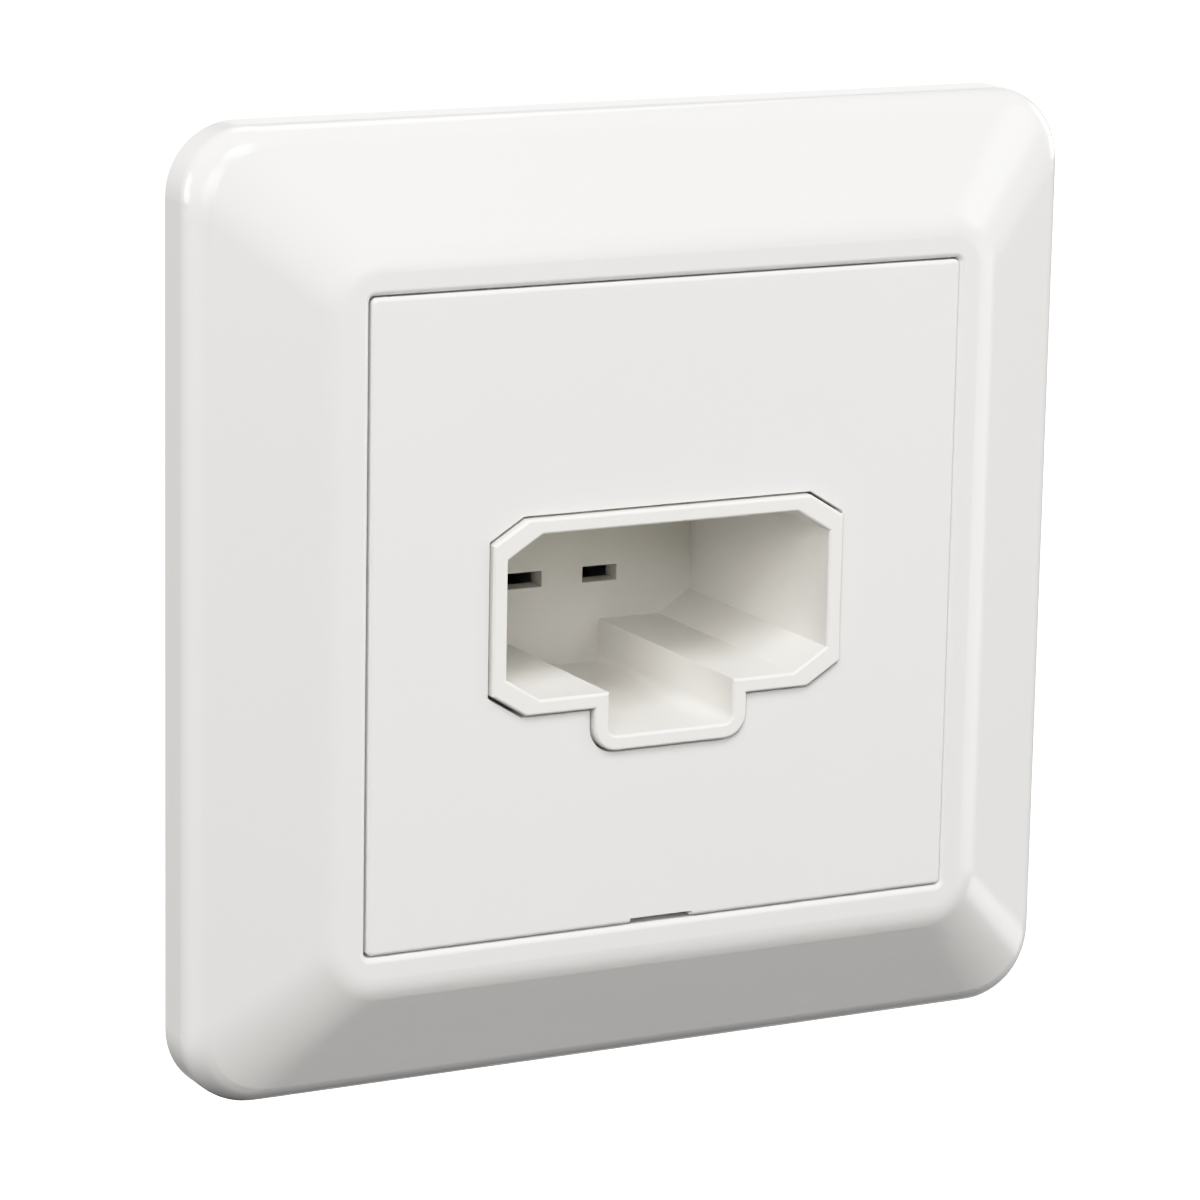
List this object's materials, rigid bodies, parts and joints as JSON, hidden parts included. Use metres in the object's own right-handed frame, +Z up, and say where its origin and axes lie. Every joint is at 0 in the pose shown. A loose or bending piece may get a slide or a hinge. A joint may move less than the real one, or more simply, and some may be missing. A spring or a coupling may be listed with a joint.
{
  "type": "ceiling light socket",
  "caption": "Square white flush outlet with a bevelled frame, a flat centre plate and a T-shaped recess for a luminaire plug, on a steel plate for a wall or ceiling box.",
  "frame": {"origin": "centre of the wall plane, at the back of the frame and midway between the box screws", "axes": "+Z up the wall with the recess's key notch at the bottom; the front faces -Y; +X to the right seen from the front"},
  "size_m": [0.082, 0.0382, 0.082],
  "materials": {
    "white_gloss_plastic": "glossy white moulded plastic",
    "white_plate_plastic": "white moulded plastic, a little less glossy",
    "insert_plastic": "white moulded plastic",
    "rear_plastic": "off-white moulded plastic",
    "zinc_plated_steel": "zinc-plated sheet",
    "screw_steel": "zinc-plated",
    "contact_bronze": "rolled bronze strip",
    "terminal_brass": "machined brass"
  },
  "bodies": {
    "root": {"cover_frame": "white_gloss_plastic", "centre_plate": "white_plate_plastic", "socket_housing": "insert_plastic", "rear_cover": "rear_plastic", "mounting_plate": "zinc_plated_steel", "flange_screws": "screw_steel", "cover_screws": "screw_steel", "neutral_contact": "contact_bronze", "earth_contact": "contact_bronze", "line_contact": "contact_bronze", "neutral_terminal": "terminal_brass", "earth_terminal": "terminal_brass", "line_terminal": "terminal_brass", "neutral_terminal_screw": "screw_steel", "earth_terminal_screw": "screw_steel", "line_terminal_screw": "screw_steel"}
  },
  "joints": []
}
